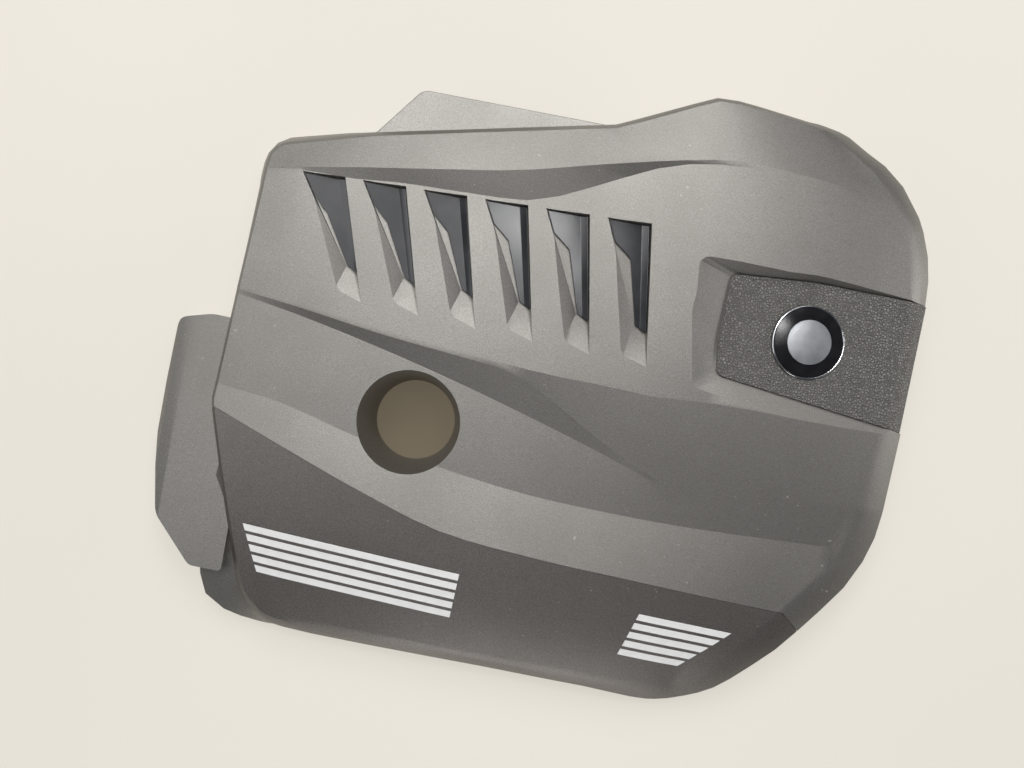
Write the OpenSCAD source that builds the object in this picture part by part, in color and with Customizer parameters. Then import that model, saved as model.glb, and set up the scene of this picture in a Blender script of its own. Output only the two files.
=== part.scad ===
// Engine cover of a car's four-cylinder engine, lying on the edge of its skirt.
// X runs along the engine, Y to the back of the engine bay, Z up out of the cover.
// The origin is under the middle of the cover, on the surface that it lies on.

/* [Cover] */
// Length over the flap and the right skirt
cover_l = 724; // [664:5:784]
// Width over the top corner and the front skirt
cover_w = 596; // [564:4:628]
// Height from the edge of the skirt to the crown
cover_h = 90; // [84:1:100]
// Wall of the moulding
wall = 3; // [2.6:0.1:3.4]
// Room between pieces that are clipped together
fit_gap = 0.3; // [0.2:0.05:0.4]

/* [Gills] */
// Number of gills in the row
gill_count = 6; // [3:1:6]
// Distance from one gill to the next
gill_pitch = 58; // [52:1:60]
// Width of a gill at its top
gill_w = 41; // [34:1:42]
// Length of the first gill along its right side
gill_l = 119; // [105:1:122]
// Depth of a gill along its right side
gill_depth = 9; // [7:0.5:10]
// Thickness of the glossy insert in a gill
insert_t = 2.2; // [1.6:0.1:2.6]
// Width of the bevel along the insert's right side
insert_bevel_w = 6.5; // [5:0.5:8]

/* [Oil filler opening] */
// Diameter of the opening at the top
filler_mouth_d = 99; // [90:1:104]
// Diameter of the throat at the bottom
filler_throat_d = 81; // [70:1:86]
// Length of the straight throat
filler_throat_l = 8; // [5:1:14]

/* [Front trim panel] */
// Thickness of the panel
panel_t = 2.5; // [2:0.1:3]
// Crown of the panel between its seam and its lower edge
panel_crown = 4; // [2:0.5:6]
// Thickness of an accent stripe
stripe_t = 1; // [0.8:0.1:1.4]
// Width of an accent stripe
stripe_w = 6.4; // [5:0.2:7]
// Distance from one stripe to the next
stripe_pitch = 9.6; // [8.4:0.2:10]
// Number of stripes on each side
stripe_count = 5; // [2:1:5]

/* [Badge bay] */
// Thickness of the badge plate
plate_t = 2.5; // [2:0.1:3]
// Depth of the bay at its left end, down to the plate
bay_depth = 7; // [5:0.5:9]
// Diameter of the round badge
badge_d = 70; // [60:1:74]
// Height of the badge at its middle
badge_h = 5; // [4:0.5:7]
// Diameter of the badge's middle disc
badge_centre_d = 42; // [30:1:46]

/* [Underside] */
// Diameter of the bore in a rubber grommet, for the ball stud
stud_d = 10; // [8:0.5:11]
// Outer diameter of a rubber grommet
grommet_d = 23; // [21:0.5:25]
// Length of a rubber grommet in its boss
grommet_l = 18; // [14:1:22]
// Depth of the foam pad's upper face below the crown
foam_drop = 34; // [32:1:38]
// Thickness of the foam pad
foam_t = 24; // [18:1:26]
// Diameter of a foam pin
pin_d = 5; // [4:0.5:6]
// Diameter of a push-on clip
clip_d = 18; // [14:1:22]

/* [Hidden] */

// Length and width that the plan points below are drawn for, so that they stretch with the cover
plan = [724, 596];
// Height that the heights below are drawn for
drawn_h = 90;
stretch = [cover_l / plan.x, cover_w / plan.y];

// Edge of the top surface, clockwise from the top left: x, y and corner radius
crest_corners = [[-284, 178, 16], [-194, 201, 150], [36, 248, 25], [127, 290, 30], [250, 279, 18],
    [339, 196, 120], [337, 61, 250], [327, -106, 110], [194, -274, 92], [-240, -273, 45], [-300, -71, 25]];
// Ends of the crest's back and front edges, in the middle of the corners' arcs
back_edge_x = [-280, 250];
front_edge_x = [-234, 184];

// Character lines across the top surface: x, y and how far each point lies below the crown
back_edge_drop = [[-285, 0, 27], [-195, 0, 21], [-95, 0, 18], [35, 0, 16], [127, 0, 14],
    [160, 0, 14], [250, 0, 22]];
ridge_line = [[-290, 154, 24], [-250, 161, 18], [-195, 169, 13], [-122, 179, 9], [-49, 190, 5.5],
    [23, 207, 2.5], [95, 223, 0.5], [150, 232, 0], [206, 230, 3], [250, 227, 7.5], [300, 217, 16],
    [340, 197, 24]];
step_line = [[-290, 149, 24.5], [-250, 158, 19], [-208, 158, 17.5], [-153, 162, 16], [-92, 163, 14.5],
    [-30, 167, 13], [26, 190, 9.5], [61, 207, 7], [96, 220, 3.5], [150, 227, 0.7], [206, 223, 3.5],
    [250, 220, 8], [300, 210, 16.5], [340, 190, 24.5]];
valley_line = [[-295, 41, 26], [-229, 33, 21], [-152, 23, 17.5], [-75, 16, 15.5], [2, 9, 14],
    [78, 7, 13.5], [111, 5, 13.5], [153, 8, 14], [210, 8, 16], [266, 7, 19.5], [330, 6, 25.5]];
fold_line = [[-295, 38, 26.2], [-229, 30, 21.3], [-152, 19, 18], [-75, 11, 16], [-25, 5, 16],
    [5, -8, 17.8], [58, -38, 20.8], [110, -65, 23.2], [135, -73, 24], [190, -72, 24.4],
    [266, -67, 26], [326, -62, 28.7]];
foot_line = [[-295, 34, 26.6], [-231, 23, 24.6], [-151, 6, 24.8], [-71, -14, 25], [10, -37, 25.2],
    [91, -62, 25.2], [135, -77, 25.2], [190, -76, 25.4], [266, -71, 27], [326, -67, 29.4]];
light_line = [[-300, -54, 30], [-235, -62, 27.8], [-160, -81, 27.6], [-78, -96, 27.8], [4, -107, 28.2],
    [81, -111, 28.6], [158, -112, 29], [235, -110, 30.2], [310, -107, 32.8]];
seam_line = [[-302, -75, 29.5], [-228, -102, 25], [-146, -131, 22.5], [-65, -155, 21],
    [33, -165, 21], [111, -169, 22], [188, -173, 24.5], [268, -177, 30]];
front_edge_drop = [[-250, 0, 51], [-130, 0, 47], [0, 0, 44], [100, 0, 45], [190, 0, 49]];
LINES = [back_edge_drop, ridge_line, step_line, valley_line, fold_line, foot_line, light_line,
    seam_line, front_edge_drop];
ridge = 1;
step = 2;
valley = 3;
seam = 7;

// Rows of the skin, from back to front: the line above and the share of the way to the next
shell_rows = concat([for (s = [0, 0.25, 0.5, 0.75]) [0, s]], [[ridge, 0]],
    [for (s = [0, 0.08, 0.18, 0.3, 0.44, 0.6, 0.8]) [step, s]], [[valley, 0], [4, 0], [5, 0], [5, 0.5]],
    [for (s = [0, 0.33, 0.66]) [6, s]], [[seam, 0]]);
panel_rows = [for (s = [0, 0.25, 0.5, 0.7, 0.82, 0.9, 0.96, 1]) [seam, s]];
// Columns of the skin, closer together at both ends
column_count = 34;
end_bunching = 0.6;

// Edge by bearing from the middle: run and drop of the rim, and outside it the shoulder's reach,
// the shoulder's height and the skirt's reach
edge_by_bearing = [[0, 22, 12, 2, 26, 4], [25, 19, 12, 2, 26, 4], [40, 17, 11, 2, 26, 4],
    [47, 15, 11, 2, 26, 4], [53, 6, 8, 2, 30, 4], [70, 6, 8, 2, 30, 4], [118, 6, 8, 4, 34, 8],
    [138, 7, 9, 11, 30, 18], [152, 7, 9, 11, 30, 18], [165, 5, 7, 6, 24, 10], [200, 5, 7, 7, 24, 12],
    [214, 6, 8, 34, 28, 40], [222, 7, 9, 40, 26, 46], [225, 8, 9, 37, 24, 43], [227, 8, 9, 26, 21, 32],
    [229.5, 9, 10, 12, 17, 17], [232, 10, 11, 5, 14, 9], [237, 12, 12, 3, 12, 6], [247, 13, 13, 4, 11, 7],
    [270, 13, 13, 5, 11, 9], [290, 15, 13, 4, 10, 9], [305, 20, 13, 3, 10, 7], [322, 28, 13, 2, 14, 4],
    [335, 28, 12, 2, 20, 3], [345, 25, 12, 2, 26, 3], [360, 22, 12, 2, 26, 4]];

// Small tools for points and lengths
function mix(a, b, s) = a + (b - a) * s;
function unit(v) = v / norm(v);
function flat(p) = [p.x, p.y];
function on_plan(p) = [p.x * stretch.x, p.y * stretch.y];
function height(drop) = cover_h - drop * cover_h / drawn_h;

// Slope of a line's value c at its point i, and the smooth curve through the points, read at x
function tangent(p, i, c) = let (a = max(i - 1, 0), b = min(i + 1, len(p) - 1))
    (p[b][c] - p[a][c]) / (p[b].x - p[a].x);
function curve(p, x, c) = let (
    k = max([for (i = [0 : len(p) - 2]) if (i == 0 || p[i].x <= x) i]),
    h = p[k + 1].x - p[k].x,
    s = min(max((x - p[k].x) / h, 0), 1))
    p[k][c] * (1 + 2 * s) * (1 - s) ^ 2 + p[k + 1][c] * s ^ 2 * (3 - 2 * s)
    + h * tangent(p, k, c) * s * (1 - s) ^ 2 - h * tangent(p, k + 1, c) * s ^ 2 * (1 - s);

// Outline with each corner rounded by its own radius, in steps arcs of a corner
function rounded(p, steps) = [for (i = [0 : len(p) - 1]) let (
    q = flat(p[i]),
    a = unit(flat(p[(i + len(p) - 1) % len(p)]) - q),
    b = unit(flat(p[(i + 1) % len(p)]) - q),
    half = acos(a * b) / 2,
    centre = q + unit(a + b) * p[i].z / sin(half),
    from = q + a * p[i].z / tan(half) - centre,
    to = q + b * p[i].z / tan(half) - centre)
    for (s = [0 : steps]) centre + unit(mix(from, to, s / steps)) * p[i].z];
// Outward direction at each point of a clockwise ring, longer at its corners
function outward(p) = [for (i = [0 : len(p) - 1]) let (
    a = unit(p[i] - p[(i + len(p) - 1) % len(p)]),
    b = unit(p[(i + 1) % len(p)] - p[i]),
    n = unit([-a.y - b.y, a.x + b.x]))
    n / max(n * [-a.y, a.x], 0.6)];
// The ring moved outwards by g
function grown(p, g) = let (n = outward(p)) [for (i = [0 : len(p) - 1]) p[i] + n[i] * g];

crest = rounded([for (c = crest_corners) [c.x * stretch.x, c.y * stretch.y, c.z]], 5);
// Points where the crest's outline crosses one x or one y
function crossings(v, c) = [for (i = [0 : len(crest) - 1]) let (
    a = crest[i],
    b = crest[(i + 1) % len(crest)])
    if ((a[c] - v) * (b[c] - v) <= 0 && a[c] != b[c])
        mix(a[1 - c], b[1 - c], (v - a[c]) / (b[c] - a[c]))];

// Place and height of a character line at x
function line_y(i, x) =
    i == 0 ? max(crossings(min(max(x, back_edge_x[0] * stretch.x), back_edge_x[1] * stretch.x), 0))
    : i == 8 ? min(crossings(min(max(x, front_edge_x[0] * stretch.x), front_edge_x[1] * stretch.x), 0))
    : curve(LINES[i], x / stretch.x, 1) * stretch.y;
function line_z(i, x) = height(max(curve(LINES[i], x / stretch.x, 2), 0));
// Place and height of a row at x, with the crown of the front panel
function row_y(r, x) = mix(line_y(r[0], x), line_y(min(r[0] + 1, 8), x), r[1]);
function row_z(r, x) = mix(line_z(r[0], x), line_z(min(r[0] + 1, 8), x), r[1])
    + (r[0] == seam ? 4 * panel_crown * r[1] * (1 - r[1]) : 0);
// Height of the surface at a point between line i and the next
function surface_z(i, p) = row_z([i, (line_y(i, p.x) - p.y) / (line_y(i, p.x) - line_y(i + 1, p.x))], p.x);

// Left and right end of a row on the crest's outline, for a row shifted along y
function row_end(r, shift, x, pick, turns) = turns == 0 ? x
    : let (found = crossings(row_y(r, x) + shift, 1))
    row_end(r, shift, pick < 0 ? min(found) : max(found), pick, turns - 1);
function row_ends(r, shift) = r == [0, 0] ? back_edge_x * stretch.x
    : r == [seam, 1] ? front_edge_x * stretch.x
    : [row_end(r, shift, -250 * stretch.x, -1, 5), row_end(r, shift, 200 * stretch.x, 1, 5)];
function column_share(j) = let (u = j / column_count) u - end_bunching * sin(360 * u) / (2 * PI);
function row_points(r, shift) = let (ends = row_ends(r, shift))
    [for (j = [0 : column_count]) let (x = mix(ends[0], ends[1], column_share(j)))
        [x, row_y(r, x) + shift, row_z(r, x)]];

// Ring around a grid of rows, clockwise from its first point, as indices
function ring_ids(rows) = let (n = column_count + 1) concat(
    [for (j = [0 : n - 1]) j],
    [for (i = [1 : rows - 1]) i * n + n - 1],
    [for (j = [n - 2 : -1 : 0]) (rows - 1) * n + j],
    [for (i = [rows - 2 : -1 : 1]) i * n]);
function grid_faces(rows) = let (n = column_count + 1)
    [for (i = [0 : rows - 2], j = [0 : n - 2], half = [0, 1]) let (k = i * n + j)
        half == 0 ? [k, k + 1, k + n + 1] : [k, k + n + 1, k + n]];
// Faces between an upper and a lower chain of points, clockwise from above
function strip_faces(upper, lower) = [for (m = [0 : len(upper) - 2], half = [0, 1])
    half == 0 ? [upper[m + 1], upper[m], lower[m]] : [upper[m + 1], lower[m], lower[m + 1]]];
function closed(p) = concat(p, [p[0]]);

function bearing(p) = (atan2(p.y, p.x) + 360) % 360;
function by_bearing(p, c) = let (b = bearing(p)) lookup(b, [for (r = edge_by_bearing) [r[0], r[c]]]);
// How much of the wall's thickness is inwards at the crest and downwards at the rim
crest_share = 0.4;
rim_share = 0.3;
// Shares of the rim's run and drop at the crest, at the middle of the roll and at the rim's edge
ROLL = [[0, 0], [0.5, 0.36], [1, 1]];
// Point of the rolled rim at a ring point p with outward direction n, moved in by d
function roll_point(p, n, d, s) = let (run = by_bearing(p, 1) * s.x - d * mix(crest_share, 1, s.x))
    [p.x + n.x * run, p.y + n.y * run, p.z - by_bearing(p, 2) * s.y - d * mix(1, rim_share, s.y)];
// Point of the shoulder or the skirt below the rim
function lower_point(p, n, d, reach, z) = let (run = by_bearing(p, 1) + reach - d)
    [p.x + n.x * run, p.y + n.y * run, z];

// Whole outside of the cover moved in by d, with the step under the front panel, down to z
module body(d, z) {
    under = panel_t + fit_gap;
    rows = concat(shell_rows, panel_rows);
    shell_n = len(shell_rows);
    n = column_count + 1;
    points = [for (i = [0 : len(rows) - 1])
        each row_points(rows[i], i == shell_n - 1 ? d : i == shell_n ? d - 2 * fit_gap : 0)];
    low = [for (i = [0 : len(rows) - 1], j = [0 : n - 1]) i < shell_n ? 0 : under];
    ids = ring_ids(len(rows));
    out = outward([for (i = ids) flat(points[i])]);
    moved = [for (i = [0 : len(points) - 1]) points[i] - [0, 0, d + low[i]]];
    roll = [for (s = ROLL) [for (m = [0 : len(ids) - 1])
        roll_point(points[ids[m]], out[m], d + low[ids[m]], s)]];
    inner = [for (i = [0 : len(points) - 1]) let (m = search(i, ids))
        len(m) == 0 ? moved[i] : roll[0][m[0]]];
    shoulder = [for (m = [0 : len(ids) - 1]) let (p = points[ids[m]])
        lower_point(p, out[m], d, by_bearing(p, 3), by_bearing(p, 4) - rim_share * d)];
    skirt = [for (m = [0 : len(ids) - 1]) let (p = points[ids[m]])
        lower_point(p, out[m], d, by_bearing(p, 5), z)];
    loops = concat([ids],
        [for (k = [0 : 3]) [for (m = [0 : len(ids) - 1]) len(points) + k * len(ids) + m]]);
    polyhedron(concat(inner, roll[1], roll[2], shoulder, skirt), concat(grid_faces(len(rows)),
        [for (k = [0 : 3]) each strip_faces(closed(loops[k]), closed(loops[k + 1]))],
        [[for (m = [len(ids) - 1 : -1 : 0]) loops[4][m]]]));
}

// Flap at the left, one moulding with the cover, moved in by d and down to z. Its edge ends above
// the skirt's edge.
flap_corners = [[-270, 9, 4], [-270, -235, 4], [-303, -235, 10], [-346, -191, 24], [-363, -104, 150],
    [-358, 2, 12], [-322, 11, 40]];
flap_profile = [[-270, 46], [-300, 44], [-322, 42], [-342, 40], [-355, 36], [-361, 30], [-363, 22]];
flap_edge_z = 3;
module flap(d, z) {
    outline = grown(rounded([for (c = flap_corners) [c.x * stretch.x, c.y * stretch.y, c.z]], 4), -d);
    profile = [for (p = flap_profile) [p.x * stretch.x + d, height(drawn_h - p.y) - d]];
    intersection() {
        translate([0, 0, z]) linear_extrude(cover_h) polygon(outline);
        translate([0, cover_w / 2, 0]) rotate([90, 0, 0]) linear_extrude(cover_w)
            polygon(concat(profile, [[profile[6].x, z - 1], [profile[0].x, z - 1]]));
    }
}

// Low shelf behind the back edge, one moulding with the cover
shelf_corners = [[-204, 181, 6], [-192, 207, 12], [-154, 256, 14], [38, 253, 6], [60, 226, 6]];
shelf_drop = 28;
shelf_lip = 12;
module shelf() {
    outline = rounded([for (c = shelf_corners) [c.x * stretch.x, c.y * stretch.y, c.z]], 4);
    translate([0, 0, height(shelf_drop) - shelf_lip]) difference() {
        linear_extrude(shelf_lip) polygon(outline);
        translate([0, 0, -1]) linear_extrude(shelf_lip - wall + 1) polygon(grown(outline, -wall));
    }
}

// Solid between a ring of points and the same ring further up along its own walls
module lofted_pocket(mouth, floor, reach) {
    n = len(mouth);
    top = [for (i = [0 : n - 1]) floor[i] + (mouth[i] - floor[i]) * reach];
    polyhedron(concat(top, floor), concat(
        [for (i = [1 : n - 2]) [0, i, i + 1]],
        [for (i = [1 : n - 2]) [n, n + i + 1, n + i]],
        strip_faces(closed([for (i = [0 : n - 1]) i]), closed([for (i = [0 : n - 1]) n + i]))));
}

// Gills: corners of gill k in plan, clockwise from its top left
gill_row_start = [-251, 157.5];
gill_lean = [17, -1.8];
gill_growth = 2.9;
gill_foot = [-26, 12];
insert_reach = 0.765;
insert_foot = [-13, 5.6];
gill_rise = 0.9;
function gill_corner(k) = on_plan(gill_row_start) + [k * gill_pitch, k * gill_rise];
function gill_side(k) = let (a = gill_lean[0] + gill_lean[1] * k)
    (gill_l + gill_growth * k) * [sin(a), -cos(a)];
function gill_mouth(k) = let (a = gill_corner(k), b = a + [gill_w, 1], c = b + gill_side(k))
    [a, b, c, c + gill_foot];
function gill_floor(k) = let (m = gill_mouth(k), tip = mix(m[1], m[2], insert_reach))
    [m[0] + [1, -0.5], m[1] + [-0.5, -0.5], tip + [-0.5, 0], tip + insert_foot];
// The floor falls from its left corner to the right side
function gill_floor_z(k, p) = let (m = gill_mouth(k), z = surface_z(step, m[0]),
    across = unit([-gill_side(k).y, gill_side(k).x]),
    share = ((p - m[0]) * across) / ((m[1] - m[0]) * across),
    fall = (surface_z(step, m[0]) - surface_z(step, m[3] + [0, 2])) / norm(m[3] - m[0]))
    z - 3.2 - (gill_depth - 3.2) * share + fall * (p - m[0]).y / 2;
function lift(ring, z) = [for (i = [0 : len(ring) - 1]) [ring[i].x, ring[i].y, z[i]]];
module gill_pocket(k, g) {
    mouth = grown(gill_mouth(k), g);
    floor = grown(gill_floor(k), g);
    lofted_pocket(lift(mouth, [for (p = gill_mouth(k)) surface_z(step, p)]),
        lift(floor, [for (p = gill_floor(k)) gill_floor_z(k, p) - g]), g > 0 ? 1 : 2);
}

// Where the left wall of gill k meets its floor, at y
function gill_left_x(k, y) = let (f = gill_floor(k))
    f[0].x + (f[3].x - f[0].x) * (y - f[0].y) / (f[3].y - f[0].y);

// Insert of gill k: a glossy plate on the gill's floor, with a bevel up its right side
insert_left_side = [[7, -12.5], [11, -21], [23.6, -30], [28.3, -34]];
insert_bevel_rise = 3;
module gill_insert(k) {
    if (k < gill_count) color([0.05, 0.05, 0.06]) {
        m = gill_mouth(k);
        tip = mix(m[1], m[2], insert_reach);
        left = concat([m[0] + [2, -1.4]],
            [for (p = insert_left_side) let (q = m[0] + p)
                [max(q.x, gill_left_x(k, q.y) + 2 * fit_gap), q.y]],
            [tip + insert_foot + [0.8, 0.6]]);
        right = [tip + [-1.2, 1], m[1] + [-1.2, -1.2]];
        crease = [right[0] + unit(left[5] - right[0]) * insert_bevel_w,
            right[1] + unit(left[0] - right[1]) * insert_bevel_w];
        base = concat(left, [crease[0]], right, [crease[1]]);
        n = len(base);
        low = [for (p = base) [p.x, p.y, gill_floor_z(k, p) + fit_gap / 2]];
        rise = [for (i = [0 : n - 1]) insert_t + (i == 7 || i == 8 ? insert_bevel_rise : 0)];
        high = [for (i = [0 : n - 1]) low[i] + [0, 0, rise[i]]];
        top = [[9, 1, 0], [9, 2, 1], [9, 3, 2], [9, 4, 3], [9, 6, 4], [4, 6, 5], [9, 8, 6], [8, 7, 6]];
        polyhedron(concat(high, low), concat(top, [for (f = top) [n + f[2], n + f[1], n + f[0]]],
            [for (i = [0 : n - 1], half = [0, 1]) let (j = (i + 1) % n)
                half == 0 ? [i, j, n + j] : [i, n + j, n + i]]));
    }
}

// Badge bay, open to the right rim: its mouth and the outline of the plate in it, clockwise
bay_corners = [[129, 142, 8], [245, 143, 200], [385, 138, 1], [385, 6, 1], [144, 20, 10], [131, 86, 100]];
plate_corners = [[165, 132, 8], [245, 138, 200], [385, 136, 1], [385, 8, 1], [165, 36, 8], [162, 71, 100]];
bay_steps = 3;
function stretched(p) = [for (c = p) [c.x * stretch.x, c.y * stretch.y, c.z]];
function crest_right(y) = [max(crossings(y, 1)), y];
// Straight stretch of the crest that the plate folds over, and its rim
bay_ends = [crest_right(plate_corners[2].y * stretch.y), crest_right(plate_corners[3].y * stretch.y)];
bay_along = unit(bay_ends[0] - bay_ends[1]);
bay_middle = (bay_ends[0] + bay_ends[1]) / 2;
bay_edge_z = surface_z(step, bay_middle);
bay_run = by_bearing(bay_middle, 1);
bay_drop = by_bearing(bay_middle, 2);
function past_crest(p) = (p - bay_middle) * [bay_along.y, -bay_along.x];
plate_start = on_plan([163, 84]);
plate_fall = (surface_z(step, plate_start) - bay_depth - bay_edge_z) / -past_crest(plate_start);
function plate_z(p) = bay_edge_z - plate_fall * past_crest(p);
plate_seat = plate_t + fit_gap;

// Section across the crest, with the same roll as the rim, moved in by d
section_in = cover_l / 3;
section_roll = [ROLL[1].x * bay_run, bay_edge_z - ROLL[1].y * bay_drop];
function chord(a, b, x) = [x, mix(a.y, b.y, (x - a.x) / (b.x - a.x))];
function rim_section(d) = grown([[-section_in, bay_edge_z + section_in * plate_fall], [0, bay_edge_z],
    section_roll, chord(section_roll, [bay_run, bay_edge_z - bay_drop], 2 * bay_run),
    [2 * bay_run, 0], [-section_in, 0]], -d);
// The section's skin t thick, as far as the lower edge of the rim
module plate_section(t) {
    difference() {
        intersection() {
            polygon(rim_section(0));
            translate([-cover_l, 0]) square([cover_l + bay_run, 2 * cover_h]);
        }
        polygon([for (p = rim_section(t)) [p.x, p.y < 10 ? -1 : p.y]]);
    }
}
module along_crest() {
    translate([bay_middle.x, bay_middle.y, 0]) rotate([0, 0, atan2(bay_along.y, bay_along.x) - 90])
        translate([0, cover_w / 2, 0]) rotate([90, 0, 0]) linear_extrude(cover_w) children();
}
module plate_plan(g, h) {
    translate([0, 0, 1]) linear_extrude(h) polygon(grown(rounded(stretched(plate_corners), bay_steps), g));
}
module bay_pocket(g) {
    mouth = grown(rounded(stretched(bay_corners), bay_steps), g);
    floor = grown(rounded(stretched(plate_corners), bay_steps), g + fit_gap);
    lofted_pocket(lift(mouth, [for (p = mouth) surface_z(step, p)]),
        lift(floor, [for (p = floor) plate_z(p) - plate_seat - g]), g > 0 ? 1 : 1.8);
}
module bay_cut() {
    bay_pocket(0);
    intersection() {
        plate_plan(fit_gap, 2 * cover_h);
        along_crest() polygon(let (q = rim_section(plate_seat), from = -8, to = 3 * bay_run)
            [chord(q[1], q[2], from), q[2], chord(q[2], q[3], to), [to, 2 * cover_h], [from, 2 * cover_h]]);
    }
}
module bay_backing() {
    bay_pocket(wall);
    intersection() {
        plate_plan(wall, cover_h);
        along_crest() plate_section(plate_seat + wall);
    }
}
module badge_plate() {
    color([0.2, 0.2, 0.2]) difference() {
        intersection() {
            plate_plan(0, cover_h);
            along_crest() plate_section(plate_t);
        }
        at_badge() translate([0, 0, -badge_seat])
            cylinder(h = 3 * badge_h, d = badge_d + 2 * fit_gap, $fn = 96);
    }
}

// Round badge, seated in the plate and tilted with it
badge_at = on_plan([246, 81]);
badge_seat = 1.2;
badge_rim_w = 2;
badge_skin = 1.4;
module at_badge() {
    translate([badge_at.x, badge_at.y, plate_z(badge_at)])
        rotate([0, 0, atan2(bay_along.y, bay_along.x) - 90]) rotate([0, atan(plate_fall), 0]) children();
}
function dome(r) = badge_h - (badge_h - 2) * (2 * r / badge_d) ^ 2;
module badge_base() {
    r = badge_d / 2 - badge_rim_w - fit_gap / 2;
    c = badge_centre_d / 2 + fit_gap / 2;
    floor = dome(c) - badge_skin;
    color([0.04, 0.04, 0.05]) at_badge() rotate_extrude($fn = 96) polygon(concat(
        [[0, -badge_seat], [r, -badge_seat]],
        [for (s = [0 : 0.2 : 1]) let (x = mix(r, c, s)) [x, dome(x)]], [[c, floor], [0, floor]]));
}
module badge_centre() {
    c = badge_centre_d / 2;
    floor = dome(c + fit_gap / 2) - badge_skin;
    color([0.62, 0.63, 0.65]) at_badge() rotate_extrude($fn = 96) polygon(concat([[0, floor], [c, floor]],
        [for (s = [0 : 0.2 : 1]) let (x = mix(c, 0, s)) [x, dome(x)]]));
}
module badge_ring() {
    a = badge_d / 2 - badge_rim_w;
    lip = dome(badge_d / 2) + 0.4;
    color([0.75, 0.76, 0.78]) at_badge() rotate_extrude($fn = 96) polygon(concat(
        [[a, -badge_seat], [a + badge_rim_w, -badge_seat]],
        [for (t = [0 : 30 : 180]) [a + badge_rim_w / 2 * (1 + cos(t)), lip - 0.8 + 0.8 * sin(t)]]));
}

// Front trim panel: the rows from the seam to the front edge, and the rim round them
panel_seam_gap = 0.4;
function panel_points(d) = let (
    points = [for (r = panel_rows) each row_points(r, r == [seam, 0] ? -panel_seam_gap : 0)],
    ids = ring_ids(len(panel_rows)),
    out = outward([for (i = ids) flat(points[i])]),
    path = [for (m = [column_count : len(ids)]) m % len(ids)])
    concat([for (i = [0 : len(points) - 1]) let (m = search(i, ids))
            len(m) == 0 || (m[0] > 0 && m[0] < column_count) ? points[i] - [0, 0, d]
            : roll_point(points[i], out[m[0]], d, ROLL[0])],
        [for (s = [ROLL[1], ROLL[2]], m = path) roll_point(points[ids[m]], panel_out(out, m), d, s)]);
// At both ends of the seam the rim runs straight across it
function panel_out(out, m) = m == 0 ? out[len(out) - 1] : m == column_count ? out[column_count + 1] : out[m];
module front_trim_panel() {
    rows = len(panel_rows);
    ids = ring_ids(rows);
    top = panel_points(0);
    n = len(top);
    path = [for (m = [column_count : len(ids)]) ids[m % len(ids)]];
    roll = [for (m = [0 : len(path) - 1]) rows * (column_count + 1) + m];
    rim = [for (i = roll) i + len(path)];
    surface = concat(grid_faces(rows), strip_faces(path, roll), strip_faces(roll, rim));
    edge = concat([for (j = [0 : column_count]) j], [roll[0]], rim, [roll[len(roll) - 1]]);
    color([0.22, 0.22, 0.23]) difference() {
        polyhedron(concat(top, panel_points(panel_t)), concat(surface,
            [for (f = surface) [n + f[2], n + f[1], n + f[0]]],
            strip_faces(closed(edge), closed([for (e = edge) n + e]))));
        for (side = [0, 1], i = [0 : stripe_count - 1]) stripe(side, i, fit_gap / 2);
    }
}

// Accent stripes, let into the panel left and right of a bare middle
stripe_start = [-254, -183];
stripe_fall = 0.045;
stripe_proud = 0.35;
// Ends of each group at the top, and how far they move along for each step down
stripe_ends = [[[-254, 0.42], [-40, -0.05]], [[135, -0.27], [226, -0.95]]];
stripe_cells = [12, 6];
module stripe(side, i, g) {
    cells = stripe_cells[side];
    edges = [for (e = [0, 1]) let (down = i * stripe_pitch + (e == 0 ? -g : stripe_w + g))
        [for (c = [0 : cells]) let (
            a = stripe_ends[side][0],
            b = stripe_ends[side][1],
            x = mix(a[0] * stretch.x + a[1] * down - g, b[0] * stretch.x + b[1] * down + g, c / cells))
            [x, stripe_start.y * stretch.y - stripe_fall * (x - stripe_start.x * stretch.x) - down]]];
    flat_points = concat(edges[0], [for (c = [cells : -1 : 0]) edges[1][c]]);
    n = len(flat_points);
    points = [for (lift_by = [stripe_proud + (g > 0 ? 4 : 0), stripe_proud - stripe_t - g])
        each [for (p = flat_points) [p.x, p.y, surface_z(seam, p) + lift_by]]];
    quads = [for (c = [0 : cells - 1]) [c, c + 1, n - 2 - c, n - 1 - c]];
    polyhedron(points, concat([for (q = quads) each [[q[0], q[1], q[2]], [q[0], q[2], q[3]]]],
        [for (q = quads) each [[n + q[2], n + q[1], n + q[0]], [n + q[3], n + q[2], n + q[0]]]],
        strip_faces(closed([for (i = [0 : n - 1]) i]), closed([for (i = [0 : n - 1]) n + i]))));
}
module accent_stripes(side) {
    color([0.83, 0.84, 0.85]) for (i = [0 : stripe_count - 1]) stripe(side, i, 0);
}

// Filler opening: a straight throat and a cone that opens to the top surface
filler_at = on_plan([-113, -59]);
filler_z = 2;
filler_top_z = surface_z(5, filler_at);
module filler(g) {
    low = filler_z + filler_throat_l;
    spread = (filler_mouth_d - filler_throat_d) / 2 / (filler_top_z - low);
    translate([filler_at.x, filler_at.y, 0]) {
        translate([0, 0, g > 0 ? filler_z : -1])
            cylinder(h = low + 1, r = filler_throat_d / 2 + g, $fn = 96);
        translate([0, 0, low]) cylinder(h = cover_h - low, r1 = filler_throat_d / 2 + g,
            r2 = filler_throat_d / 2 + g + spread * (cover_h - low), $fn = 96);
    }
}

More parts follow.
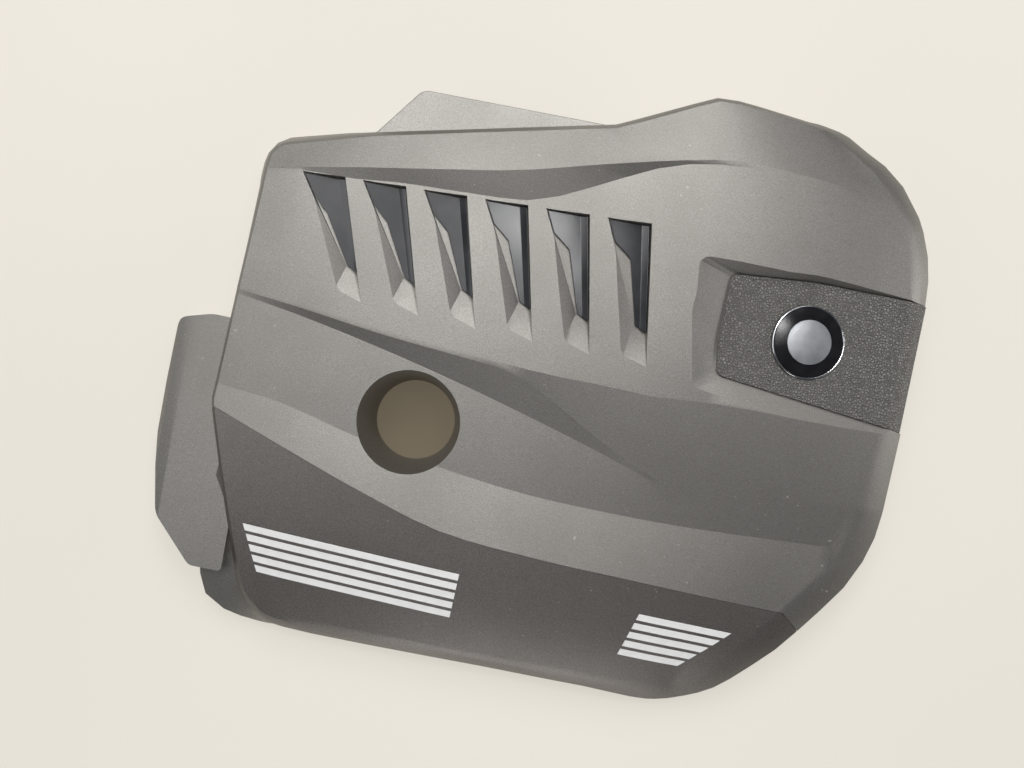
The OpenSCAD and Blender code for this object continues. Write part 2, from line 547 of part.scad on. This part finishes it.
// Underside: bosses for the grommets, pins for the foam and ribs that the foam lies against
boss_places = [[-214, -169], [208, -151], [-262, 63], [262, 179]];
boss_z = 24;
pin_places = [[-120, 191], [110, 241], [250, -34], [10, -74], [-195, -24]];
pin_end = 4;
rib_rows = [185, 9, -99];
rib_t = 2;
foam_top = cover_h - foam_drop;
foam_z = foam_top - foam_t;
boss_r = grommet_d / 2 + fit_gap / 2 + wall;
module underside() {
    filler(wall);
    for (p = boss_places) translate(concat(on_plan(p), [boss_z]))
        cylinder(h = cover_h, r = boss_r, $fn = 48);
    for (p = pin_places) translate(concat(on_plan(p), [foam_z - pin_end]))
        cylinder(h = cover_h, d = pin_d, $fn = 32);
    for (y = rib_rows) translate([-cover_l / 2, y * stretch.y, foam_top + fit_gap])
        cube([cover_l, rib_t, cover_h]);
    for (k = [0 : gill_count - 1]) gill_pocket(k, wall);
    bay_backing();
}

// The cover itself: one moulding with its flap, shelf, pockets, bosses and ribs. Its walls run on
// below the floor and are trimmed there.
trim_z = [-4, -6, -8, -10];
module cover_shell() {
    color([0.42, 0.41, 0.4]) difference() {
        union() {
            body(0, trim_z[0]);
            flap(0, flap_edge_z);
            shelf();
        }
        difference() {
            union() {
                body(wall, trim_z[1]);
                flap(wall, trim_z[2]);
            }
            underside();
        }
        translate([-cover_l, -cover_w, trim_z[3]]) cube([2 * cover_l, 2 * cover_w, -trim_z[3]]);
        filler(0);
        for (k = [0 : gill_count - 1]) gill_pocket(k, 0);
        bay_cut();
        for (p = boss_places) translate(concat(on_plan(p), [boss_z - 1]))
            cylinder(h = grommet_l + 1 + fit_gap, d = grommet_d + fit_gap, $fn = 48);
    }
}

// Rubber grommet for a ball stud, pushed up into a boss
grommet_flange = [3, 2.5];
module grommet(i) {
    r = grommet_d / 2;
    bore = stud_d / 2;
    low = boss_z - grommet_flange[1];
    color([0.1, 0.1, 0.1]) translate(concat(on_plan(boss_places[i]), [0])) rotate_extrude($fn = 48) polygon([
        [bore, low + 1.5], [bore + 1.5, low], [r + grommet_flange[0], low], [r + grommet_flange[0], boss_z],
        [r, boss_z], [r, boss_z + grommet_l - 1], [r - 1, boss_z + grommet_l], [bore, boss_z + grommet_l]]);
}

// Foam pad under the cover, and the clips that hold it on the pins
foam_corners = [[-240, 173, 15], [-190, 187, 60], [36, 233, 40], [125, 273, 25], [236, 261, 30],
    [306, 191, 60], [304, 21, 80], [298, -79, 40], [240, -121, 30], [180, -143, 40],
    [-60, -143, 60], [-234, -81, 20]];
foam_room = 2;
module foam_pad() {
    color([0.3, 0.3, 0.31]) translate([0, 0, foam_z]) linear_extrude(foam_t) difference() {
        polygon(rounded(stretched(foam_corners), 4));
        translate(filler_at) circle(d = filler_mouth_d + 2 * (wall + foam_room), $fn = 96);
        for (p = boss_places) translate(on_plan(p)) circle(r = boss_r + foam_room, $fn = 48);
        for (p = pin_places) translate(on_plan(p)) circle(d = pin_d + 2 * fit_gap, $fn = 32);
    }
}
clip_t = 1;
module foam_clips() {
    color([0.12, 0.12, 0.12]) for (p = pin_places) translate(concat(on_plan(p), [foam_z - clip_t]))
        linear_extrude(clip_t) difference() {
            circle(d = clip_d, $fn = 32);
            circle(d = pin_d + fit_gap / 2, $fn = 32);
        }
}

cover_shell();
front_trim_panel();
badge_plate();
badge_base();
badge_ring();
badge_centre();
gill_insert(0);  // gill_insert_1
gill_insert(1);  // gill_insert_2
gill_insert(2);  // gill_insert_3
gill_insert(3);  // gill_insert_4
gill_insert(4);  // gill_insert_5
gill_insert(5);  // gill_insert_6
accent_stripes(0);  // accent_stripes_left
accent_stripes(1);  // accent_stripes_right
foam_pad();
foam_clips();
grommet(0);  // grommet_front_left
grommet(1);  // grommet_front_right
grommet(2);  // grommet_back_left
grommet(3);  // grommet_back_right
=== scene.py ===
import math

import bmesh
import bpy
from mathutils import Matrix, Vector


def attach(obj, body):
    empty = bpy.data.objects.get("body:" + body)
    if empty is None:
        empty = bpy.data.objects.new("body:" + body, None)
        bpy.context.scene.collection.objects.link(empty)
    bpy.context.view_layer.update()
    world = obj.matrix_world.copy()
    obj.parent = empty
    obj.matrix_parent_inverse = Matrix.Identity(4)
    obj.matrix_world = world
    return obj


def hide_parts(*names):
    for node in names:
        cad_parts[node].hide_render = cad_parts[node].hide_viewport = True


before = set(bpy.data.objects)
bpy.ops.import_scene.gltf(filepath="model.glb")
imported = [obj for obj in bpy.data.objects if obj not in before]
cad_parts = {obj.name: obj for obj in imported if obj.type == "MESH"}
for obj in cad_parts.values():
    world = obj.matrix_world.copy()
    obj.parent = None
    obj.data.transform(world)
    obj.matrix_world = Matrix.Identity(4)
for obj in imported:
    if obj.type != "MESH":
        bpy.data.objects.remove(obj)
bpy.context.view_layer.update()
print("frame loaded:", len(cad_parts), "nodes")

# Camera, straight above the cover and turned with it; the photograph's numbers are in pixels
photo = {
    "width": 1024,
    "focal": 769,
    "sensor": 36,
    "middle": (-0.022, -0.006),
    "height": 0.795,
    "turn": math.radians(10),
}


def addCamera(settings):
    camera = bpy.data.objects.new("photoCamera", bpy.data.cameras.new("photoCamera"))
    bpy.context.scene.collection.objects.link(camera)
    camera.data.sensor_width = settings["sensor"]
    camera.data.lens = settings["sensor"] * settings["focal"] / settings["width"]
    camera.data.clip_start = 0.01
    camera.location = (*settings["middle"], settings["height"])
    camera.rotation_euler = (0, 0, settings["turn"])
    bpy.context.scene.camera = camera


addCamera(photo)

# Floor, world and lamps
studio = {
    "floorSize": 12,
    "floorColour": (0.88, 0.835, 0.75, 1),
    "floorRoughness": 0.85,
    "tintSize": 1.2,
    "tintShare": 0.96,
    "floorGlow": 0.62,
    # Painted shade: a dark disc on the floor under the filler opening
    "paintedShadeSpot": {
        "middle": (-0.113, -0.059, 0),
        "radius": 0.07,
        "edge": 0.004,
        "colour": (0.18, 0.15, 0.105, 1),
    },
    "worldColour": (0.92, 0.95, 1.0, 1),
    "worldStrength": 0.08,
    "lamps": {
        "topLamp": {
            "place": (-0.344, 0.937, 2.56), "size": (2.0, 2.0),
            "power": 23, "aim": (-0.05, 0, 0),
        },
        "leftLamp": {
            "place": (-1.0, 0.8, 2.3), "size": (1.2, 1.2),
            "power": 12, "aim": (-0.05, 0, 0),
        },
        "backLamp": {
            "place": (-0.1, 1.2, 1.2), "size": (0.6, 0.6),
            "power": 7.5, "aim": (0, 0, 0),
        },
        "cornerLamp": {
            "place": (0.5, 1.0, 1.2), "size": (0.6, 0.6),
            "power": 1.2, "aim": (0, 0, 0),
        },
        "rightLamp": {
            "place": (1.3, 0.2, 0.42), "size": (0.6, 0.6),
            "power": 3.2, "aim": (0, 0, 0),
        },
        "panelLamp": {
            "place": (-0.95, -0.4, 1.1), "size": (0.5, 0.5),
            "power": 1.1, "aim": (-0.2, -0.1, 0),
        },
        "frontLamp": {
            "place": (0.1, -1.3, 0.4), "size": (0.7, 0.4),
            "power": 3.5, "aim": (0, -0.2, 0),
        },
        "gillLamp": {
            "place": (0.3, 0.42, 1.2), "size": (0.32, 0.14),
            "power": 1.7, "aim": (0, 0.1, 0),
        },
        "sideLamp": {
            "place": (-1.25, 0.12, 0.85), "size": (0.35, 0.35),
            "power": 1.0, "aim": (0, 0.1, 0),
        },
    },
}


class Wire:
    # A socket of a finish; its operators add Math nodes
    def __init__(self, finish, socket):
        self.finish = finish
        self.socket = socket

    def maths(self, operation, first, second):
        settings = {"operation": operation}
        node = self.finish.node("ShaderNodeMath", settings, {0: first, 1: second})
        return Wire(self.finish, node.outputs[0])

    def __add__(self, other):
        return self.maths("ADD", self, other)

    def __sub__(self, other):
        return self.maths("SUBTRACT", self, other)

    def __mul__(self, other):
        return self.maths("MULTIPLY", self, other)

    def __rsub__(self, other):
        return self.maths("SUBTRACT", other, self)

    __radd__ = __add__
    __rmul__ = __mul__


class Finish:
    # A material on Object coordinates, and the nodes that its patterns use
    def __init__(self, name, **sockets):
        self.material = bpy.data.materials.new(name)
        self.material.use_nodes = True
        self.tree = self.material.node_tree
        self.shader = self.tree.nodes["Principled BSDF"]
        self.place = Wire(self, self.node("ShaderNodeTexCoord").outputs["Object"])
        for socket, value in sockets.items():
            self.feed(self.shader, socket.replace("_", " "), value)

    def feed(self, node, socket, value):
        if isinstance(value, Wire):
            self.tree.links.new(value.socket, node.inputs[socket])
        else:
            node.inputs[socket].default_value = value

    def node(self, kind, settings=None, sockets=None):
        node = self.tree.nodes.new(kind)
        for name, value in (settings or {}).items():
            setattr(node, name, value)
        for socket, value in (sockets or {}).items():
            self.feed(node, socket, value)
        return node

    def noise(self, size, detail):
        sockets = {"Scale": 1 / size, "Detail": detail, "Vector": self.place}
        return Wire(self, self.node("ShaderNodeTexNoise", {}, sockets).outputs[0])

    def cells(self, size):
        # Distance to the edge of pebble-shaped cells
        settings = {"feature": "DISTANCE_TO_EDGE"}
        sockets = {"Scale": 1 / size, "Vector": self.place}
        return Wire(self, self.node("ShaderNodeTexVoronoi", settings, sockets).outputs[0])

    def between(self, value, low, high):
        # 0 below low, 1 above high, soft between them
        settings = {"interpolation_type": "SMOOTHSTEP"}
        node = self.node("ShaderNodeMapRange", settings, {0: value, 1: low, 2: high})
        return Wire(self, node.outputs[0])

    def blend(self, share, first, second):
        node = self.node("ShaderNodeMix", {"data_type": "RGBA"}, {0: share, 6: first, 7: second})
        return Wire(self, node.outputs[2])

    def bump(self, height, depth):
        sockets = {"Height": height, "Distance": depth, "Strength": 1.0}
        return Wire(self, self.node("ShaderNodeBump", {}, sockets).outputs[0])

    def set(self, **sockets):
        for socket, value in sockets.items():
            self.feed(self.shader, socket.replace("_", " "), value)
        return self.material


# Range in which a noise pattern turns from one colour into the other
contrast = (0.3, 0.7)


def grainedPlastic(name, look):
    finish = Finish(name)
    cloud = finish.noise(look["cloudSize"], 3)
    grain = finish.noise(look["grainSize"], 3)
    flecks = finish.between(finish.noise(look["fleckSize"], 1), *look["fleckRange"])
    patches = finish.between(finish.noise(look["patchSize"], 2), *look["patchRange"])
    dust = finish.between(finish.noise(look["dustSize"], 1), *look["dustRange"]) * patches
    clouds = finish.between(cloud, *look["cloudRange"])
    colour = finish.blend(finish.between(grain, *contrast), look["dark"], look["light"])
    colour = finish.blend(flecks * look["flecks"], colour, look["fleckColour"])
    colour = finish.blend(clouds * look["cloud"], colour, look["cloudColour"])
    colour = finish.blend(dust * look["dust"], colour, look["dustColour"])
    rough = look["roughness"] + (cloud - 0.5) * look["cloudRough"]
    rough = rough + (grain - 0.5) * look["grainRough"] + dust * look["dustRough"]
    return finish.set(
        Base_Color=colour,
        Roughness=rough,
        Metallic=look["metallic"],
        Normal=finish.bump(grain, look["grainDepth"]),
    )


coverLook = {
    "dark": (0.27, 0.26, 0.24, 1),
    "light": (0.37, 0.355, 0.335, 1),
    "grainSize": 0.0011,
    "grainDepth": 0.00012,
    "grainRough": 0.1,
    "fleckSize": 0.0016,
    "fleckRange": (0.56, 0.72),
    "flecks": 0.35,
    "fleckColour": (0.40, 0.385, 0.36, 1),
    "cloudSize": 0.12,
    "cloudRange": (0.35, 0.7),
    "cloud": 0.25,
    "cloudColour": (0.23, 0.215, 0.195, 1),
    "cloudRough": 0.12,
    "dustSize": 0.004,
    "dustRange": (0.77, 0.79),
    "patchSize": 0.13,
    "patchRange": (0.42, 0.62),
    "dust": 0.6,
    "dustColour": (0.72, 0.70, 0.66, 1),
    "dustRough": 0.2,
    "roughness": 0.53,
    "metallic": 0.95,
}
panelLook = coverLook | {
    "dark": (0.20, 0.184, 0.171, 1),
    "light": (0.28, 0.262, 0.246, 1),
    "fleckColour": (0.27, 0.255, 0.24, 1),
    "cloudColour": (0.15, 0.135, 0.122, 1),
    "grainSize": 0.0013,
    "roughness": 0.55,
}


plateLook = {
    "pebbleSize": 0.0025,
    "pebbleRange": (0.0, 0.25),
    "pebbles": 0.8,
    "fineSize": 0.0009,
    "fine": 0.2,
    "depth": 0.0018,
    # Painted shade: the colour in the grain's grooves
    "paintedGrooveShade": (0.11, 0.104, 0.096, 1),
    "top": (0.28, 0.27, 0.25, 1),
    "roughness": 0.42,
    "uneven": 0.15,
}


def leatherPlastic(name, look):
    finish = Finish(name)
    pebbles = finish.between(finish.cells(look["pebbleSize"]), *look["pebbleRange"])
    fine = finish.noise(look["fineSize"], 3)
    height = pebbles * look["pebbles"] + fine * look["fine"]
    # The pebble grain itself is raised by the bump; its colour darkening with depth, darkest in
    # the grooves, is painted shade
    colour = finish.blend(height, look["paintedGrooveShade"], look["top"])
    return finish.set(
        Base_Color=colour,
        Roughness=look["roughness"] + (fine - 0.5) * look["uneven"],
        Normal=finish.bump(height, look["depth"]),
    )


# What the plain finishes share; each changes some of it
plainLook = {
    "metallic": 0.0,
    "mottleSize": 0.01,
    "uneven": 0.06,
    "fineSize": 0.001,
    "depth": 0.00005,
}


def plain(name, **changes):
    look = plainLook | changes
    finish = Finish(name, Metallic=look["metallic"])
    mottle = finish.noise(look["mottleSize"], 3)
    colour = finish.blend(finish.between(mottle, *contrast), look["dark"], look["light"])
    height = finish.noise(look["fineSize"], 2) * look["depth"]
    if "waveSize" in look:  # broad waves, so that a lamp's reflection fades over a gill insert
        height = height + finish.noise(look["waveSize"], 0) * look["waveDepth"]
    return finish.set(
        Base_Color=colour,
        Roughness=look["roughness"] + (mottle - 0.5) * look["uneven"],
        Normal=finish.bump(height, 1.0),
    )


finishes = {
    "cover": grainedPlastic("coverPlastic", coverLook),
    "panel": grainedPlastic("panelPlastic", panelLook),
    "plate": leatherPlastic("platePlastic", plateLook),
    "badgeBlack": plain(
        "badgeBlack", dark=(0.008, 0.008, 0.009, 1), light=(0.013, 0.013, 0.015, 1),
        roughness=0.12, uneven=0.04),
    "badgeRim": plain(
        "badgeRim", dark=(0.62, 0.63, 0.65, 1), light=(0.72, 0.73, 0.75, 1),
        roughness=0.16, metallic=1.0),
    "badgeSatin": plain(
        "badgeSatin", dark=(0.50, 0.51, 0.53, 1), light=(0.60, 0.61, 0.63, 1),
        roughness=0.34, metallic=0.9, fineSize=0.0006),
    "insert": plain(
        "insertBlack", dark=(0.020, 0.021, 0.024, 1), light=(0.032, 0.033, 0.036, 1),
        roughness=0.18, uneven=0.08, mottleSize=0.03, depth=0.00001,
        waveSize=0.05, waveDepth=0.0011),
    "stripe": plain(
        "stripeSilver", dark=(0.90, 0.895, 0.88, 1), light=(0.95, 0.945, 0.93, 1),
        roughness=0.4, fineSize=0.0009),
    "foam": plain(
        "foamSkin", dark=(0.035, 0.035, 0.037, 1), light=(0.075, 0.075, 0.078, 1),
        roughness=0.9, mottleSize=0.004, fineSize=0.0015, depth=0.0009),
    "clip": plain(
        "clipPlastic", dark=(0.014, 0.014, 0.014, 1), light=(0.022, 0.022, 0.022, 1),
        roughness=0.45),
    "rubber": plain(
        "grommetRubber", dark=(0.012, 0.012, 0.012, 1), light=(0.024, 0.023, 0.022, 1),
        roughness=0.7, mottleSize=0.006, depth=0.0001),
}
print("finishes made:", len(finishes))


def deselectAll():
    if bpy.context.object and bpy.context.object.mode != "OBJECT":
        bpy.ops.object.mode_set(mode="OBJECT")
    bpy.ops.object.select_all(action="DESELECT")


def wear(piece, finish):
    piece.data.materials.clear()
    piece.data.materials.append(finishes[finish])


# The cover's character lines, in plan; edges along them that turn enough stay crisp
creases = {
    "angle": math.radians(1.5),
    "lowest": 0.045,
    "reach": 0.0018,
    "ridge": [
        (-0.290, 0.154), (-0.250, 0.161), (-0.195, 0.169), (-0.122, 0.179), (-0.049, 0.190),
        (-0.013, 0.198), (0.023, 0.207), (0.095, 0.223), (0.122, 0.2285), (0.150, 0.232),
        (0.206, 0.230), (0.250, 0.227),
    ],
    "step": [
        (-0.250, 0.158), (-0.208, 0.158), (-0.153, 0.162), (-0.092, 0.163), (-0.061, 0.1635),
        (-0.030, 0.167), (-0.002, 0.178), (0.026, 0.190), (0.061, 0.207), (0.096, 0.220),
        (0.123, 0.2255), (0.150, 0.227), (0.206, 0.223), (0.250, 0.220),
    ],
    "fold": [
        (-0.295, 0.038), (-0.229, 0.030), (-0.152, 0.019), (-0.075, 0.011), (-0.050, 0.009),
        (-0.025, 0.005), (0.005, -0.008), (0.058, -0.038), (0.110, -0.065), (0.135, -0.073),
    ],
    "foot": [
        (-0.295, 0.034), (-0.231, 0.023), (-0.151, 0.006), (-0.071, -0.014), (0.010, -0.037),
        (0.091, -0.062), (0.135, -0.077),
    ],
    "valley": [
        (-0.060, 0.015), (0.002, 0.009), (0.078, 0.007), (0.111, 0.005), (0.153, 0.008),
        (0.210, 0.008),
    ],
    "light": [
        (-0.300, -0.054), (-0.235, -0.062), (-0.160, -0.081), (-0.078, -0.096), (0.004, -0.107),
        (0.081, -0.111), (0.158, -0.112), (0.235, -0.110), (0.310, -0.107),
    ],
}
# The same for the mouth of the badge bay
bayCreases = {
    "angle": math.radians(3),
    "lowest": 0.045,
    "reach": 0.004,
    "mouth": [
        (0.385, 0.006), (0.144, 0.020), (0.131, 0.086), (0.129, 0.142), (0.245, 0.143),
        (0.385, 0.138),
    ],
}
# And for the walls of the gill pockets, along the row's middle line
gillCreases = {
    "angle": math.radians(14),
    "lowest": 0.045,
    "reach": 0.085,
    "pockets": [(-0.240, 0.115), (0.100, 0.085)],
}
# The back right corner is drawn in; the move fades out at its reach
pulls = {
    "backCorner": {"middle": (0.268, 0.294), "reach": 0.055, "shift": (-0.001, -0.008, 0)},
}
# Outer edge of the shelf behind the cover, rolled over
shelfRoll = {
    "angle": 1,
    "lowest": 0.058,
    "highest": 0.064,
    "reach": 0.003,
    "width": 0.0016,
    "segments": 3,
    "line": [(-0.204, 0.181), (-0.192, 0.207), (-0.154, 0.256), (0.038, 0.253), (0.060, 0.226)],
}


def nearLine(point, line, reach):
    plan = Vector((point.x, point.y))
    for start, end in zip(line, line[1:]):
        start, end = Vector(start), Vector(end)
        share = (plan - start).dot(end - start) / (end - start).length_squared
        if (plan - start.lerp(end, min(max(share, 0), 1))).length < reach:
            return True
    return False


def markCreases(piece, settings):
    lines = [line for line in settings.values() if isinstance(line, list)]
    work = bmesh.new()
    work.from_mesh(piece.data)
    marked = 0
    for edge in work.edges:
        turned = edge.calc_face_angle(0) > settings["angle"]
        if turned and min(end.co.z for end in edge.verts) > settings["lowest"] and any(
                all(nearLine(end.co, line, settings["reach"]) for end in edge.verts)
                for line in lines):
            edge.smooth = False
            marked += 1
    work.to_mesh(piece.data)
    work.free()
    print("creases marked:", marked)


def rollEdge(piece, settings):
    # A wider round on one outer edge
    bpy.ops.object.mode_set(mode="EDIT")
    bpy.ops.mesh.select_mode(type="EDGE")
    bpy.ops.mesh.select_all(action="DESELECT")
    work = bmesh.from_edit_mesh(piece.data)
    for edge in work.edges:
        if edge.calc_face_angle(0) > settings["angle"] and all(
                settings["lowest"] < end.co.z < settings["highest"]
                and nearLine(end.co, settings["line"], settings["reach"]) for end in edge.verts):
            edge.select_set(True)
    bmesh.update_edit_mesh(piece.data)
    bpy.ops.mesh.bevel(offset=settings["width"], segments=settings["segments"])
    bpy.ops.mesh.select_mode(type="VERT")
    bpy.ops.object.mode_set(mode="OBJECT")


def pullAreas(piece):
    for pull in pulls.values():
        for vertex in piece.data.vertices:
            plan = Vector((vertex.co.x, vertex.co.y))
            away = (plan - Vector(pull["middle"])).length / pull["reach"]
            if away < 1:
                vertex.co += Vector(pull["shift"]) * (1 - away * away) ** 2


def mergedCopy(node, name, finish, shape):
    # A smooth copy of a node: doubles merged, flat faces joined, edges rounded;
    # only the moulding has its corner pulled, its shelf rolled and its creases marked
    deselectAll()
    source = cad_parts[node]
    piece = bpy.data.objects.new(name, source.data.copy())
    bpy.context.scene.collection.objects.link(piece)
    bpy.context.view_layer.objects.active = piece
    piece.select_set(True)
    bpy.ops.object.mode_set(mode="EDIT")
    bpy.ops.mesh.select_all(action="SELECT")
    bpy.ops.mesh.remove_doubles(threshold=shape["merge"])
    bpy.ops.mesh.dissolve_limited(angle_limit=shape["flat"])
    bpy.ops.object.mode_set(mode="OBJECT")
    if node == "cover_shell":
        pullAreas(piece)
        rollEdge(piece, shelfRoll)
    bevel = piece.modifiers.new("rounded", "BEVEL")
    bevel.limit_method = "ANGLE"
    bevel.angle_limit = shape["edge"]
    bevel.width = shape["radius"]
    bevel.segments = shape["segments"]
    bpy.ops.object.modifier_apply(modifier=bevel.name)
    if node == "cover_shell":
        for settings in (creases, bayCreases, gillCreases):
            markCreases(piece, settings)
    bpy.ops.object.shade_smooth_by_angle(angle=shape["smooth"])
    weighted = piece.modifiers.new("weighted", "WEIGHTED_NORMAL")
    weighted.keep_sharp = True
    bpy.ops.object.modifier_apply(modifier=weighted.name)
    wear(piece, finish)
    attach(piece, "root")
    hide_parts(node)
    print("made", name, len(piece.data.polygons), "faces")
    return piece


# How the copies are shaped: lengths in metres, angles in radians
moulding = {
    "merge": 0.00001,
    "flat": math.radians(0.3),
    "radius": 0.0008,
    "edge": math.radians(24),
    "segments": 2,
    "smooth": math.radians(20),
}

panel = moulding | {"radius": 0.0012}
plate = moulding | {"radius": 0.0009}
stripes = moulding | {"radius": 0.0002}
insert = moulding | {"radius": 0.0004, "smooth": math.radians(9)}
gillCount = 6

mergedCopy("cover_shell", "coverMoulding", "cover", moulding)
mergedCopy("front_trim_panel", "trimPanel", "panel", panel)
mergedCopy("badge_plate", "badgePlate", "plate", plate)
for side in ("left", "right"):
    mergedCopy("accent_stripes_" + side, side + "Stripes", "stripe", stripes)
for number in range(1, gillCount + 1):
    name = "gillInsert%d" % number
    mergedCopy("gill_insert_%d" % number, name, "insert", insert)

# Nodes that are shown as they are
kept = {
    "badge_base": "badgeBlack",
    "badge_ring": "badgeRim",
    "badge_centre": "badgeSatin",
    "foam_clips": "clip",
    "grommet_front_left": "rubber",
    "grommet_front_right": "rubber",
    "grommet_back_left": "rubber",
    "grommet_back_right": "rubber",
}
for node, finish in kept.items():
    wear(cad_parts[node], finish)
print("kept nodes dressed:", len(kept))

# Foam pad, with its edges rounded
foam = {
    "merge": 0.00001,
    "flat": math.radians(0.5),
    "radius": 0.003,
    "edge": math.radians(40),
    "segments": 3,
    "smooth": math.radians(40),
    "fill": 0.9,
}
pad = mergedCopy("foam_pad", "foamPad", "foam", foam)


def addFloor(settings):
    deselectAll()
    bpy.ops.mesh.primitive_plane_add(size=settings["floorSize"], location=(0, 0, 0))
    floor = bpy.context.object
    floor.name = "studioFloor"
    finish = Finish("floorPaint", Roughness=settings["floorRoughness"])
    tint = finish.noise(settings["tintSize"], 2)
    dim = [settings["tintShare"] * value for value in settings["floorColour"][:3]] + [1]
    colour = finish.blend(finish.between(tint, *contrast), dim, settings["floorColour"])
    # Painted shade: a dark disc is painted on the floor where it shows through the filler opening,
    # in place of the cover's shade
    spot = settings["paintedShadeSpot"]
    sockets = {0: finish.place, 1: spot["middle"]}
    distance = finish.node("ShaderNodeVectorMath", {"operation": "DISTANCE"}, sockets)
    away = Wire(finish, distance.outputs["Value"])
    outside = finish.between(away, spot["radius"], spot["radius"] + spot["edge"])
    colour = finish.blend(outside, spot["colour"], colour)
    finish.set(Base_Color=colour)
    # Part of the floor's pale colour is its own, so that it stays even; the rest takes the shadows
    rays = finish.node("ShaderNodeLightPath").outputs
    seen = Wire(finish, rays["Is Camera Ray"]) + Wire(finish, rays["Is Glossy Ray"])
    seen = seen + Wire(finish, rays["Is Transmission Ray"])
    glow = finish.node("ShaderNodeEmission", {}, {"Color": colour, "Strength": 1.0})
    mix = finish.node("ShaderNodeMixShader", {}, {0: seen * settings["floorGlow"]})
    finish.tree.links.new(finish.shader.outputs[0], mix.inputs[1])
    finish.tree.links.new(glow.outputs[0], mix.inputs[2])
    finish.tree.links.new(mix.outputs[0], finish.tree.nodes["Material Output"].inputs["Surface"])
    floor.data.materials.append(finish.material)


def addLamps(settings):
    for name, lamp in settings["lamps"].items():
        data = bpy.data.lights.new(name, "AREA")
        data.shape = "RECTANGLE"
        data.size, data.size_y = lamp["size"]
        data.energy = lamp["power"]
        lampObject = bpy.data.objects.new(name, data)
        bpy.context.scene.collection.objects.link(lampObject)
        lampObject.location = lamp["place"]
        direction = Vector(lamp["aim"]) - Vector(lamp["place"])
        lampObject.rotation_euler = direction.to_track_quat("-Z", "Y").to_euler()


def lightWorld(settings):
    world = bpy.data.worlds.new("softRoom")
    bpy.context.scene.world = world
    world.use_nodes = True
    background = world.node_tree.nodes["Background"]
    background.inputs["Color"].default_value = settings["worldColour"]
    background.inputs["Strength"].default_value = settings["worldStrength"]


addFloor(studio)
addLamps(studio)
lightWorld(studio)
bpy.context.scene.view_settings.view_transform = "Standard"
print("studio ready")
